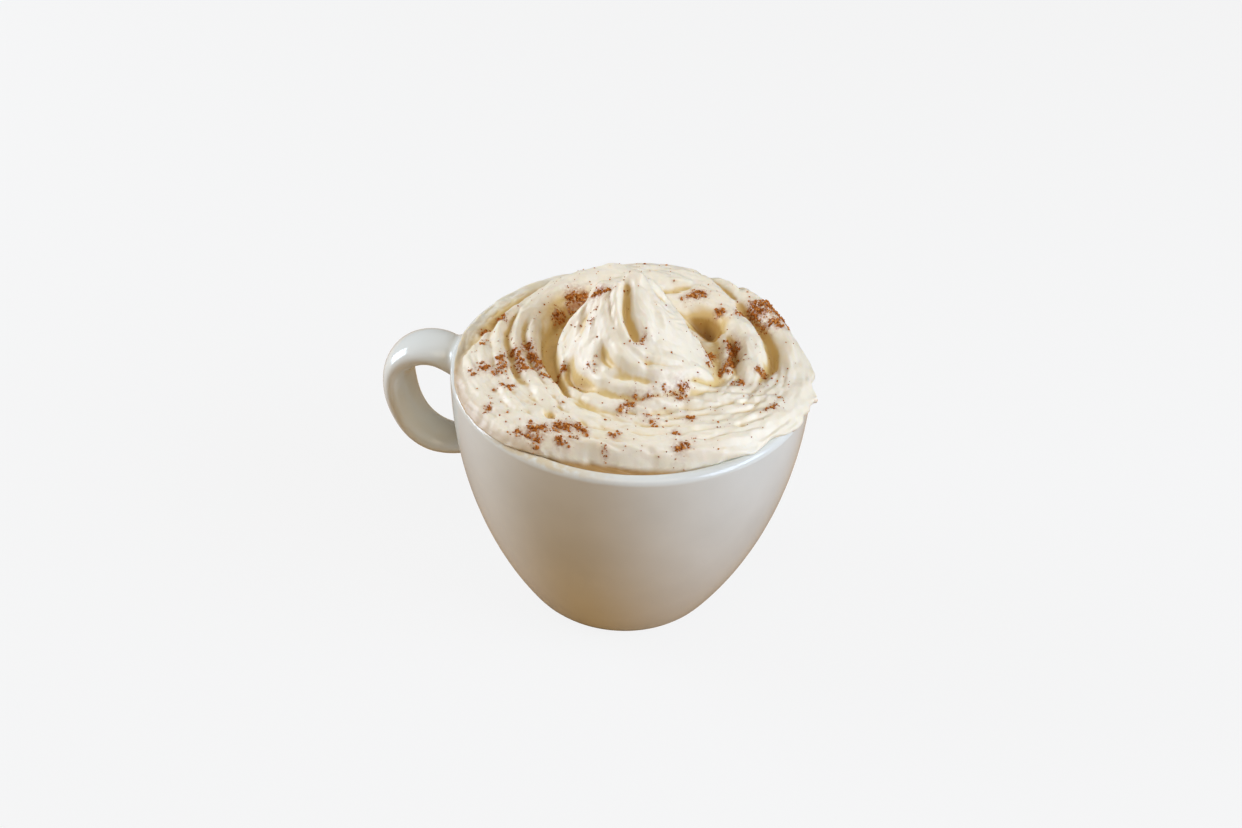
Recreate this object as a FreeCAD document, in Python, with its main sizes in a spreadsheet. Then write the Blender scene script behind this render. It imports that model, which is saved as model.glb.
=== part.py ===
import FreeCAD, Part

import math
import os

import Sketcher
from FreeCAD import Placement, Rotation, Vector

# A cup of Vienna coffee: a porcelain cup with one strap handle, coffee almost to the lip,
# and a fluted swirl of whipped cream that floats in it and rises above the lip.
# Origin: on the cup's axis, in the plane that the foot ring stands on. +Z is up, and the
# handle points along -X. Millimetres and degrees.

SIZES = [
    # cup wall, foot and lip
    ("rim_radius", 50.0),         # outside radius just under the lip
    ("rim_height", 74.6),         # where the flared wall turns upright
    ("lip_height", 76.5),         # top of the lip
    ("wall_curve", 134.5),        # radius of the long arc of the wall, seen from the side
    ("base_curve", 13.6),         # radius of the tight arc above the foot
    ("foot_radius", 26.2),        # outside radius of the foot ring
    ("foot_width", 3.4),
    ("foot_recess", 1.8),
    ("foot_round", 0.7),
    ("wall_thickness", 4.0),
    ("floor_height", 7.5),
    ("floor_round", 14.0),
    ("lip_round", 1.8),
    # strap handle: half sizes of its oval section at its root, bow and tail
    ("handle_root_width", 6.4),
    ("handle_root_depth", 4.0),
    ("handle_bow_width", 8.6),
    ("handle_bow_depth", 3.8),
    ("handle_tail_width", 5.9),
    ("handle_tail_depth", 2.8),
    ("handle_blend", 2.5),        # radius of the clay smoothed in where it meets the wall
    # coffee
    ("coffee_level", 74.2),       # its surface
    ("fit_gap", 0.05),            # left between coffee, cup and cream
    ("plug_radius", 41.0),        # the part of the cream that is sunk in the coffee
    ("plug_depth", 9.0),
    # whipped cream, the inner turn that climbs to the tip: heights are above the lip
    ("tip_height", 27.3),
    ("tip_offset", 5.7),          # how far the tip leans to the back
    ("mound_radius", 19.5),       # of its foot, where it stands clear
    ("mound_front_spread", 6.5),  # how much wider it is where it runs into the outer turn
    ("mound_flutes", 9),
    ("mound_flute_depth", 1.2),
    ("mound_twist", 95.0),
    # whipped cream, the outer turn on the coffee
    ("ring_crest_radius", 35.5),
    ("ring_crest_shift", 8.0),    # further out at the open side and the back
    ("ring_crest_height", 4.8),
    ("ring_back_rise", 2.8),
    ("ring_flute_pitch", 6.2),
    ("ring_flute_depth", 0.8),
    ("valley_radius", 23.5),      # of the valley between the turns
    ("valley_height", 5.0),
    ("valley_drop", 4.8),         # how much deeper it is beside the start of the piping
    ("valley_pit", 3.0),          # and at the right
    ("edge_radius", 45.4),
    ("edge_spill", 6.2),          # how far the cream spills over the lip on its open side
    ("edge_height", 0.8),
    ("petal_notch", 5.2),         # how far it stays inside the lip where the piping starts
]

doc = FreeCAD.newDocument("ViennaCoffee")
sheet = doc.addObject("Spreadsheet::Sheet", "Sizes")
for row, (name, value) in enumerate(SIZES, start=1):
    sheet.set("A%d" % row, name)
    sheet.set("B%d" % row, str(value))
    sheet.setAlias("B%d" % row, name)
doc.recompute()


def size(name):
    return float(sheet.get(name))


# ---------------------------------------------------------------- sketches and bodies

def add_body(name):
    body = doc.addObject("PartDesign::Body", name)
    body.Label = name
    return body


def origin_plane(body, role):
    for feature in body.Origin.OriginFeatures:
        if feature.Role == role:
            return feature
    raise RuntimeError("no plane " + role)


def add_sketch(body, name, role):
    sketch = body.newObject("Sketcher::SketchObject", name)
    sketch.AttachmentSupport = (origin_plane(body, role), [""])
    sketch.MapMode = "FlatFace"
    return sketch


def constrain(sketch, bound, kind, *where):
    """Adds one constraint. bound is (name, expression, start value), or None for a plain one."""
    if bound is None:
        sketch.addConstraint(Sketcher.Constraint(kind, *where))
        return
    name, expression, value = bound
    index = sketch.addConstraint(Sketcher.Constraint(kind, *where, value))
    sketch.renameConstraint(index, name)
    sketch.setExpression("Constraints." + name, expression)


START, END = 1, 2
ORIGIN = (-1, 1)


def join_ends(sketch, count, smooth):
    """Closes the outline: each element ends where the next one starts, some of them smoothly."""
    for index in range(count):
        kind = "Tangent" if index in smooth else "Coincident"
        constrain(sketch, None, kind, index, END, (index + 1) % count, START)


def arc_between(centre, radius, first, last):
    """The counterclockwise arc from the direction of one point to that of another."""
    circle = Part.Circle(Vector(centre[0], centre[1], 0), Vector(0, 0, 1), radius)
    angles = [math.atan2(p[1] - centre[1], p[0] - centre[0]) for p in (first, last)]
    return Part.ArcOfCircle(circle, angles[0], angles[1])


def line(first, last):
    return Part.LineSegment(Vector(first[0], first[1], 0), Vector(last[0], last[1], 0))


def revolve(body, sketch, kind, name):
    feature = body.newObject("PartDesign::" + kind, name)
    feature.Profile = (sketch, [""])
    feature.ReferenceAxis = (sketch, ["V_Axis"])
    feature.Angle = 360.0
    sketch.Visibility = False
    doc.recompute()
    return feature


def tangent_joint(wall_centre, wall_radius, corner_centre):
    """Where the small corner arc runs into the long wall arc, on the line of both centres."""
    dx = corner_centre[0] - wall_centre[0]
    dz = corner_centre[1] - wall_centre[1]
    far = wall_radius / math.hypot(dx, dz)
    return (wall_centre[0] + dx * far, wall_centre[1] + dz * far)


def corner_centre_at(wall_centre, wall_radius, corner_radius, height):
    """Centre of a corner arc that touches the wall arc from inside, at a given height."""
    reach = wall_radius - corner_radius
    dz = height - wall_centre[1]
    return (wall_centre[0] + math.sqrt(reach * reach - dz * dz), height)


def corner_centre_through(wall_centre, wall_radius, corner_radius, point):
    """Centre of a corner arc that touches the wall arc from inside and passes a point."""
    dx = point[0] - wall_centre[0]
    dz = point[1] - wall_centre[1]
    gap = math.hypot(dx, dz)
    reach = wall_radius - corner_radius
    along = (reach * reach - corner_radius * corner_radius + gap * gap) / (2 * gap)
    aside = math.sqrt(reach * reach - along * along)
    return (wall_centre[0] + (dx * along - dz * aside) / gap,
            wall_centre[1] + (dz * along + dx * aside) / gap)


# ---------------------------------------------------------------- cup

def cup_blank(cup):
    """The cup before it is hollowed: wall, foot ring and recess, turned about the axis."""
    rim, rim_z, lip_z = size("rim_radius"), size("rim_height"), size("lip_height")
    wall, base = size("wall_curve"), size("base_curve")
    foot, recess = size("foot_radius"), size("foot_recess")
    inner_foot = foot - size("foot_width")
    wall_centre = (rim - wall, rim_z)
    base_centre = corner_centre_through(wall_centre, wall, base, (foot, 0))
    joint = tangent_joint(wall_centre, wall, base_centre)
    sketch = add_sketch(cup, "cup_outline", "XZ_Plane")
    sketch.addGeometry([
        line((0, recess), (inner_foot, recess)),
        line((inner_foot, recess), (inner_foot, 0)),
        line((inner_foot, 0), (foot, 0)),
        arc_between(base_centre, base, (foot, 0), joint),
        arc_between(wall_centre, wall, joint, (rim, rim_z)),
        line((rim, rim_z), (rim, lip_z)),
        line((rim, lip_z), (0, lip_z)),
        line((0, lip_z), (0, recess)),
    ], False)
    join_ends(sketch, 8, smooth=(3, 4))
    for index in (0, 2, 6):
        constrain(sketch, None, "Horizontal", index)
    for index in (1, 5, 7):
        constrain(sketch, None, "Vertical", index)
    constrain(sketch, None, "PointOnObject", 7, END, -2)
    constrain(sketch, None, "PointOnObject", 2, START, -1)
    constrain(sketch, ("recess", "Sizes.foot_recess", recess), "DistanceY", *ORIGIN, 0, START)
    constrain(sketch, ("foot_in", "Sizes.foot_radius - Sizes.foot_width", inner_foot),
              "DistanceX", *ORIGIN, 1, END)
    constrain(sketch, ("foot_out", "Sizes.foot_radius", foot), "DistanceX", *ORIGIN, 2, END)
    constrain(sketch, ("base_arc", "Sizes.base_curve", base), "Radius", 3)
    constrain(sketch, ("wall_arc", "Sizes.wall_curve", wall), "Radius", 4)
    constrain(sketch, ("rim", "Sizes.rim_radius", rim), "DistanceX", *ORIGIN, 5, START)
    constrain(sketch, ("rim_z", "Sizes.rim_height", rim_z), "DistanceY", *ORIGIN, 5, START)
    constrain(sketch, ("lip_z", "Sizes.lip_height", lip_z), "DistanceY", *ORIGIN, 5, END)
    return revolve(cup, sketch, "Revolution", "cup_turning")


def inner_wall(offset):
    """Wall centre, wall radius, corner centre, corner radius and their joint for the hollow."""
    rim, rim_z = size("rim_radius"), size("rim_height")
    thickness = size("wall_thickness") + offset
    wall = size("wall_curve") - thickness
    wall_centre = (rim - size("wall_curve"), rim_z)
    corner = size("floor_round") - offset
    centre = corner_centre_at(wall_centre, wall, corner, size("floor_height") + size("floor_round"))
    return wall_centre, wall, centre, corner, tangent_joint(wall_centre, wall, centre)


def hollow_outline(sketch, offset, stops, gap_text):
    """Floor, floor corner, wall arc and upright stretch, then the points in stops, closed."""
    wall_centre, wall, centre, corner, joint = inner_wall(offset)
    floor = size("floor_height") + offset
    brim = size("rim_radius") - size("wall_thickness") - offset
    rim_z = size("rim_height")
    first = stops[0]
    if first[1] > rim_z:
        wall_end = (brim, rim_z)
        upright = [line(wall_end, first)]
    else:
        dz = first[1] - wall_centre[1]
        wall_end = (wall_centre[0] + math.sqrt(wall * wall - dz * dz), first[1])
        upright = []
    points = [first if upright else wall_end] + list(stops[1:])
    shape = [
        line((0, floor), (centre[0], floor)),
        arc_between(centre, corner, (centre[0], floor), joint),
        arc_between(wall_centre, wall, joint, wall_end),
    ] + upright
    shape += [line(a, b) for a, b in zip(points, points[1:])]
    shape.append(line(points[-1], (0, floor)))
    sketch.addGeometry(shape, False)
    join_ends(sketch, len(shape), smooth=(0, 1, 2) if upright else (0, 1))
    constrain(sketch, None, "Horizontal", 0)
    constrain(sketch, None, "PointOnObject", 0, START, -2)
    constrain(sketch, None, "Vertical", len(shape) - 1)
    constrain(sketch, ("floor_z", "Sizes.floor_height" + gap_text, floor),
              "DistanceY", *ORIGIN, 0, START)
    constrain(sketch, ("corner", "Sizes.floor_round" + gap_text.replace("+", "-"), corner),
              "Radius", 1)
    constrain(sketch, ("wall_arc", "Sizes.wall_curve - Sizes.wall_thickness"
                       + gap_text.replace("+", "-"), wall), "Radius", 2)


def cup_hollow(cup):
    """The inside of the cup: a level floor that sweeps up into the wall and on past the lip."""
    brim = size("rim_radius") - size("wall_thickness")
    above = size("lip_height") + size("wall_thickness")
    sketch = add_sketch(cup, "hollow_outline", "XZ_Plane")
    hollow_outline(sketch, 0.0, [(brim, above), (0, above)], "")
    constrain(sketch, None, "Horizontal", 4)
    constrain(sketch, ("brim", "Sizes.rim_radius - Sizes.wall_thickness", brim),
              "DistanceX", *ORIGIN, 3, END)
    constrain(sketch, ("rim_z", "Sizes.rim_height", size("rim_height")),
              "DistanceY", *ORIGIN, 3, START)
    constrain(sketch, ("above", "Sizes.lip_height + Sizes.wall_thickness", above),
              "DistanceY", *ORIGIN, 3, END)
    return revolve(cup, sketch, "Groove", "cup_hollow")


# The strap's centre line, as distance out from the axis and height: it leaves the wall
# upwards, bows over and comes back to the wall lower down.
HANDLE_LINE = [(43.5, 63.2), (51.3, 69.4), (58.2, 71.1), (64.4, 68.5), (68.2, 63.2),
               (68.3, 56.5), (65.5, 46.8), (59.6, 40.5), (51.5, 39.6), (43.0, 42.3)]
HANDLE_SECTIONS = 11


def handle_blend_text(what, share):
    """Expression for the strap's half width or half depth at a share of its length."""
    first, last = ("root", "bow") if share < 0.5 else ("bow", "tail")
    part = (share * 2) % 1 if share < 1 else 1.0
    return "Sizes.handle_%s_%s * %.3f + Sizes.handle_%s_%s * %.3f" % (
        first, what, 1 - part, last, what, part)


def handle_blend_size(what, share):
    """The same size as a number, to start the sketch from."""
    first, last = ("root", "bow") if share < 0.5 else ("bow", "tail")
    part = (share * 2) % 1 if share < 1 else 1.0
    return (size("handle_%s_%s" % (first, what)) * (1 - part)
            + size("handle_%s_%s" % (last, what)) * part)


def add_oval(sketch, share):
    """The strap's oval section: centred, wider than deep, both half axes bound to the sheet."""
    width, depth = handle_blend_size("width", share), handle_blend_size("depth", share)
    sketch.addGeometry(Part.Ellipse(Vector(0, 0, 0), width, depth), False)
    sketch.exposeInternalGeometry(0)
    wide, deep = 1, 2
    constrain(sketch, None, "Coincident", 0, 3, *ORIGIN)
    constrain(sketch, None, "Horizontal", wide)
    constrain(sketch, ("wide", "2 * (%s)" % handle_blend_text("width", share), 2 * width),
              "Distance", wide)
    constrain(sketch, ("deep", "2 * (%s)" % handle_blend_text("depth", share), 2 * depth),
              "Distance", deep)


def cup_handle(cup):
    """The strap, lofted through oval sections that stand square to its centre line."""
    curve = Part.BSplineCurve()
    curve.interpolate([Vector(-out, 0, z) for out, z in HANDLE_LINE])
    sections = []
    for index in range(HANDLE_SECTIONS):
        share = index / (HANDLE_SECTIONS - 1)
        where = curve.parameterAtDistance(share * curve.length(), curve.FirstParameter)
        point = curve.value(where)
        along = curve.tangent(where)[0]
        turn = math.degrees(math.atan2(-along.z, along.x))
        sketch = add_sketch(cup, "handle_section_%d" % index, "YZ_Plane")
        sketch.AttachmentOffset = Placement(Vector(0, point.z, point.x),
                                            Rotation(Vector(1, 0, 0), turn))
        add_oval(sketch, share)
        sketch.Visibility = False
        sections.append(sketch)
    loft = cup.newObject("PartDesign::AdditiveLoft", "cup_handle")
    loft.Profile = (sections[0], [""])
    loft.Sections = [(sketch, [""]) for sketch in sections[1:]]
    loft.Ruled = False
    doc.recompute()
    return loft


def round_edges(cup, base, name, radius_cell, chosen):
    """Fillets the edges of base that chosen accepts."""
    names = ["Edge%d" % (i + 1) for i, edge in enumerate(base.Shape.Edges) if chosen(edge)]
    fillet = cup.newObject("PartDesign::Fillet", name)
    fillet.Base = (base, names)
    fillet.setExpression("Radius", "Sizes." + radius_cell)
    doc.recompute()
    return fillet


def is_handle_joint(edge):
    """True for the two closed curves in which the strap meets the wall."""
    middle = edge.CenterOfMass
    across = edge.BoundBox.YLength
    rim, bow = size("rim_radius"), 2 * size("handle_bow_width")
    return -rim - 2.0 < middle.x < -rim + 8.0 and across < bow and abs(middle.y) < 0.5


def is_ring(edge, radius, height):
    """True for a full circle about the axis with that radius, at that height."""
    if not isinstance(edge.Curve, Part.Circle):
        return False
    near = abs(edge.Curve.Radius - radius) < 0.01 and abs(edge.Curve.Center.z - height) < 0.01
    return near and math.hypot(edge.Curve.Center.x, edge.Curve.Center.y) < 0.01


def make_cup():
    cup = add_body("cup")
    cup_blank(cup)
    cup_handle(cup)
    hollow = cup_hollow(cup)
    rim, lip = size("rim_radius"), size("lip_height")
    brim = rim - size("wall_thickness")
    lip_rings = round_edges(cup, hollow, "lip_rounding", "lip_round",
                            lambda e: is_ring(e, rim, lip) or is_ring(e, brim, lip))
    foot, inner = size("foot_radius"), size("foot_radius") - size("foot_width")
    foot_rings = round_edges(cup, lip_rings, "foot_rounding", "foot_round",
                             lambda e: is_ring(e, foot, 0) or is_ring(e, inner, 0))
    cup.Tip = round_edges(cup, foot_rings, "handle_blending", "handle_blend", is_handle_joint)
    return cup


# ---------------------------------------------------------------- coffee

def make_coffee():
    """The coffee: it fills the hollow to its level, round the sunk part of the cream."""
    coffee = add_body("coffee")
    gap = size("fit_gap")
    level, plug = size("coffee_level"), size("plug_radius")
    bottom = level - size("plug_depth")
    sketch = add_sketch(coffee, "coffee_outline", "XZ_Plane")
    stops = [(0, level), (plug, level), (plug, bottom), (0, bottom)]
    hollow_outline(sketch, gap, stops, " + Sizes.fit_gap")
    constrain(sketch, None, "Horizontal", 3)
    constrain(sketch, None, "Vertical", 4)
    constrain(sketch, None, "Horizontal", 5)
    rim_z = size("rim_height")
    centre_x = size("rim_radius") - size("wall_curve")
    constrain(sketch, ("centre_x", "Sizes.wall_curve - Sizes.rim_radius", -centre_x),
              "DistanceX", 2, 3, *ORIGIN)
    constrain(sketch, ("centre_z", "Sizes.rim_height", rim_z), "DistanceY", *ORIGIN, 2, 3)
    constrain(sketch, ("level", "Sizes.coffee_level", level), "DistanceY", *ORIGIN, 2, END)
    constrain(sketch, ("plug", "Sizes.plug_radius", plug), "DistanceX", *ORIGIN, 4, START)
    constrain(sketch, ("bottom", "Sizes.coffee_level - Sizes.plug_depth", bottom),
              "DistanceY", *ORIGIN, 4, END)
    revolve(coffee, sketch, "Revolution", "coffee_fill")
    return coffee


# ---------------------------------------------------------------- whipped cream

def swell(angle, centre, spread):
    """1 at the centre angle, falling smoothly to 0 at spread degrees on either side."""
    away = abs((angle - centre + 180.0) % 360.0 - 180.0)
    if away >= spread:
        return 0.0
    return 0.5 + 0.5 * math.cos(math.pi * away / spread)


OPEN_SIDE = 12.0        # where the cream spills furthest over the lip
BACK = 90.0             # where the piped ring is highest
PIPING_START = 158.0    # where the rope starts, with its blunt end
PIT = 54.0              # the hollow at the right between the two turns
FRONT = 300.0           # where the two turns run into each other
TIP_LEAN = 101.0        # the way the tip leans


def edge_radius(angle):
    """How far out the cream reaches at an angle."""
    return (size("edge_radius") + size("edge_spill") * swell(angle, OPEN_SIDE, 85.0)
            + 1.6 * swell(angle, BACK, 50.0) + 1.5 * swell(angle, 235.0, 35.0)
            - size("petal_notch") * swell(angle, PIPING_START, 45.0))


def ring_crest(angle):
    """Radius and height of the top of the piped ring."""
    radius = (size("ring_crest_radius") + size("ring_crest_shift") * swell(angle, 45.0, 75.0)
              + 3.0 * swell(angle, 120.0, 50.0))
    height = (size("ring_crest_height") + size("ring_back_rise") * swell(angle, BACK, 70.0)
              - 1.3 * swell(angle, 0.0, 45.0))
    return radius, height


def valley(angle):
    """Radius and height of the valley between the two turns."""
    radius = (size("valley_radius") + 5.5 * swell(angle, 130.0, 45.0)
              + 6.5 * swell(angle, PIT, 45.0))
    height = (size("valley_height") - size("valley_drop") * swell(angle, PIPING_START, 80.0)
              - size("valley_pit") * swell(angle, PIT, 35.0))
    return radius, height


def flute(turns):
    """A rounded ridge and a narrower groove, once a turn, from 1 down to -1."""
    wave = 0.5 + 0.5 * math.cos(2 * math.pi * turns)
    return 2 * math.sqrt(wave) - 1


def ring_surface(angle, radius):
    """Height of the outer turn above the lip."""
    crest_radius, crest_height = ring_crest(angle)
    valley_radius, valley_height = valley(angle)
    edge = edge_radius(angle)
    if radius > crest_radius:
        share = min(1.0, (radius - crest_radius) / (edge - crest_radius))
        low = size("edge_height")
    else:
        share = min(1.0, (crest_radius - radius) / (crest_radius - valley_radius + 2.0))
        low = valley_height - 1.0
    height = low + (crest_height - low) * math.sqrt(1 - share ** 2.3)
    drift = -8.0 * swell(angle, 250.0, 95.0) + 5.0 * swell(angle, 20.0, 100.0)
    fade = 1 - share ** 4
    turns = (radius - crest_radius - drift) / size("ring_flute_pitch")
    return height + size("ring_flute_depth") * fade * flute(turns)


def mound_surface(angle, radius):
    """Height of the inner turn above the lip: a fluted dome whose ridges wind round the tip."""
    spread = size("mound_front_spread") * swell(angle, FRONT, 100.0)
    share = radius / (size("mound_radius") + spread)
    if share >= 1:
        return -100.0
    low, tip = valley(angle)[1] - 1.0, size("tip_height")
    fullness = 1.3 + 0.4 * swell(angle, 190.0, 100.0)
    height = low + (tip - low) * (1 - share ** fullness)
    fade = min(1.0, share * 3.0) * min(1.0, (1 - share) * 5.0)
    turns = (angle - size("mound_twist") * share) / 360.0 * size("mound_flutes")
    return height + size("mound_flute_depth") * fade * flute(turns)


def merge(one, other, fillet):
    """The higher of two forms, with the corner between them filled."""
    gap = max(fillet - abs(one - other), 0.0)
    return max(one, other) + gap * gap / (4 * fillet)


def cream_point(angle, share):
    """A point of the cream's top, from the tip (share 0) to the edge (share 1)."""
    turn = math.radians(angle)
    lean = math.radians(TIP_LEAN)
    edge = edge_radius(angle)
    radius = edge * share
    keep = size("tip_offset") * max(0.0, 1 - radius / 24.0)
    x = radius * math.cos(turn) + keep * math.cos(lean)
    y = radius * math.sin(turn) + keep * math.sin(lean)
    height = merge(ring_surface(angle, radius), mound_surface(angle, radius),
                   0.6 + 6.0 * swell(angle, FRONT, 85.0))
    return Vector(x, y, size("lip_height") + height)


COLUMNS = 96            # control points round the swirl
TOP_ROWS = 30           # and from the tip to the edge


def cream_rows():
    """Rows of control points: the top, the rounded edge and the underside down to the coffee."""
    lip, gap = size("lip_height"), size("fit_gap")
    brim = size("rim_radius") - size("wall_thickness")
    floor = size("coffee_level") + gap
    tip_share = 0.012
    shares = [tip_share + (1 - tip_share) * (i / (TOP_ROWS - 1)) ** 1.08 for i in range(TOP_ROWS)]
    angles = [360.0 * column / COLUMNS for column in range(COLUMNS)]
    rows = []
    for share in shares:
        row = [cream_point(angle, share) for angle in angles]
        if share == shares[0]:
            for point in row:
                point.z = lip + size("tip_height")
        rows.append(row)
    under = []
    for angle in angles:
        edge = edge_radius(angle)
        inside = min(edge, brim - 1.0)
        over = edge - inside
        low = lip + 0.5 if over > 0.5 else floor + 0.9
        turn = math.radians(angle)
        stops = [(edge + 0.4, lip + 0.6 * size("edge_height")),
                 (edge, low),
                 (inside + over * 0.5, low),
                 (inside - 0.3, low - 0.2),
                 (inside - 0.6, floor)]
        under.append([Vector(r * math.cos(turn), r * math.sin(turn), z) for r, z in stops])
    for index in range(len(under[0])):
        rows.append([column[index] for column in under])
    return rows


def cream_skin(rows):
    """One smooth face through the net, closed round the axis."""
    degree = 3
    poles = [list(column) for column in zip(*rows)]
    across = len(rows)
    knots = list(range(across - degree + 1))
    ends = [degree + 1] + [1] * (len(knots) - 2) + [degree + 1]
    surface = Part.BSplineSurface()
    surface.buildFromPolesMultsKnots(poles, [1] * (COLUMNS + 1), ends,
                                     list(range(COLUMNS + 1)), knots, True, False,
                                     degree, degree)
    return surface.toShape()


def make_cream():
    """The swirl above the coffee, closed by flat faces, and the plug that is sunk in it."""
    skin = cream_skin(cream_rows())
    rings = [edge for edge in skin.Edges if edge.isClosed() and edge.Length > 0.1]
    rings = [e for e in rings if abs(e.BoundBox.ZMax - e.BoundBox.ZMin) < 0.01]
    caps = [Part.Face(Part.Wire([ring])) for ring in rings]
    faces = Part.makeCompound([skin] + caps)
    faces.sewShape()
    swirl = Part.makeSolid(faces.Shells[0])
    gap = size("fit_gap")
    bottom = size("coffee_level") - size("plug_depth") + gap
    top = size("coffee_level") + gap
    plug = Part.makeCylinder(size("plug_radius") - gap, top - bottom, Vector(0, 0, bottom))
    cream = doc.addObject("Part::Feature", "whipped_cream")
    cream.Label = "whipped_cream"
    cream.Shape = swirl.fuse(plug)
    cream.Placement = Placement()
    return cream


# ---------------------------------------------------------------- check and write

parts = [make_cup(), make_coffee(), make_cream()]
doc.recompute()
for item in doc.Objects:
    if "Invalid" in item.State or "Error" in item.State:
        raise RuntimeError("%s failed: %s" % (item.Label, item.State))
for part in parts:
    shape = part.Shape
    if shape.isNull() or not shape.isValid() or len(shape.Solids) != 1:
        raise RuntimeError("%s is not one valid solid" % part.Label)

os.makedirs("parts", exist_ok=True)
for part in parts:
    part.Shape.exportStep(os.path.join("parts", part.Label + ".step"))
    box = part.Shape.BoundBox
    print("%-14s %9.1f mm3  x %.2f %.2f  y %.2f %.2f  z %.2f %.2f" % (
        part.Label, part.Shape.Volume, box.XMin, box.XMax, box.YMin, box.YMax, box.ZMin, box.ZMax))
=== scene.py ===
import math

import bpy
import numpy as np
from mathutils import Matrix, Vector
from mathutils.bvhtree import BVHTree


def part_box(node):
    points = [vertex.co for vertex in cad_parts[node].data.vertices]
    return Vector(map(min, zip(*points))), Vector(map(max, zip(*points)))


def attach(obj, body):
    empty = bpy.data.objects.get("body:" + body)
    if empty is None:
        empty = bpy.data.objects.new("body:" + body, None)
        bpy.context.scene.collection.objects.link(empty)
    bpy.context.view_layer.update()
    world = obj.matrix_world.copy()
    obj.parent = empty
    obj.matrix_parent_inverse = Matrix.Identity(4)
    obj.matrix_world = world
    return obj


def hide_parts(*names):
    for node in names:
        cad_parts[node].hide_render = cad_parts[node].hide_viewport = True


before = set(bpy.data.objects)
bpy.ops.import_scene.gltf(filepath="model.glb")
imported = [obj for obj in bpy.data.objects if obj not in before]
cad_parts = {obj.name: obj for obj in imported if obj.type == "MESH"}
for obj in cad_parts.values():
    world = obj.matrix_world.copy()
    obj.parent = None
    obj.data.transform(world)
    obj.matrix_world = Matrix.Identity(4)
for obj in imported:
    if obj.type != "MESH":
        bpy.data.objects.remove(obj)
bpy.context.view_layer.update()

MM = 0.001

# ------------------------------------------------------------------ camera
# The viewer stands on the handle's right-hand side and looks down into the cup from half a
# metre away, with a normal lens and the head held very slightly aslant.
cup_low, cup_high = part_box("cup")
lip = cup_high[2]
camera_azimuth = math.radians(11.8)
camera_elevation = math.radians(39.58)
camera_tilt = math.radians(3.1)
camera_distance = 0.5
looked_at = Vector((0, 0, lip * 0.4885))

back = Vector((math.sin(camera_azimuth) * math.cos(camera_elevation),
               -math.cos(camera_azimuth) * math.cos(camera_elevation),
               math.sin(camera_elevation)))
right = Vector((math.cos(camera_azimuth), math.sin(camera_azimuth), 0))
upward = back.cross(right)
tilted_right = right * math.cos(camera_tilt) + upward * math.sin(camera_tilt)
tilted_up = upward * math.cos(camera_tilt) - right * math.sin(camera_tilt)

camera_data = bpy.data.cameras.new("camera")
# a normal lens, shifted so that the cup stands a little below the middle of the view
camera_data.lens = 49.77
camera_data.sensor_width = 36.0
camera_data.shift_x = -0.0038
camera_data.shift_y = 0.0493
camera_data.clip_start = 0.01
camera = bpy.data.objects.new("camera", camera_data)
camera.matrix_world = (Matrix.Translation(looked_at + back * camera_distance)
                       @ Matrix((tilted_right, tilted_up, back)).transposed().to_4x4())
bpy.context.collection.objects.link(camera)
bpy.context.scene.camera = camera
bpy.context.scene.view_settings.view_transform = "Standard"


# ------------------------------------------------------------------ porcelain cup
# A slip-cast and wheel-finished cup of hard porcelain with a strap handle, dipped in clear
# glaze and fired: a slightly warm white body under a smooth glass skin that softens every
# edge. Coffee and cream have left a thin tan film along the front left of the lip.
def linear(hex_colour):
    """sRGB hex, as a designer writes it, to the linear colour that the shaders take."""
    parts = [int(hex_colour[i:i + 2], 16) / 255 for i in (1, 3, 5)]
    return tuple(c / 12.92 if c <= 0.04045 else ((c + 0.055) / 1.055) ** 2.4 for c in parts) + (1,)


def new_material(name):
    material = bpy.data.materials.new(name)
    material.use_nodes = True
    tree = material.node_tree
    tree.nodes.clear()
    return material, tree


def add_node(tree, kind, settings=None, **inputs):
    """One node with its settings, and its inputs as numbers, colours or sockets to link."""
    node = tree.nodes.new("ShaderNode" + kind)
    for key, value in (settings or {}).items():
        setattr(node, key, value)
    for key, value in inputs.items():
        name = key.replace("_", " ")
        socket = node.inputs[int(key[1:])] if key[1:].isdigit() else node.inputs[name]
        if isinstance(value, bpy.types.NodeSocket):
            tree.links.new(value, socket)
        else:
            socket.default_value = value
    return node


def set_ramp(node, *stops):
    """Sets a colour ramp's stops, each (position, colour)."""
    elements = node.color_ramp.elements
    while len(elements) < len(stops):
        elements.new(0.5)
    for element, (position, colour) in zip(elements, stops):
        element.position = position
        element.color = colour
    return node


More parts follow.
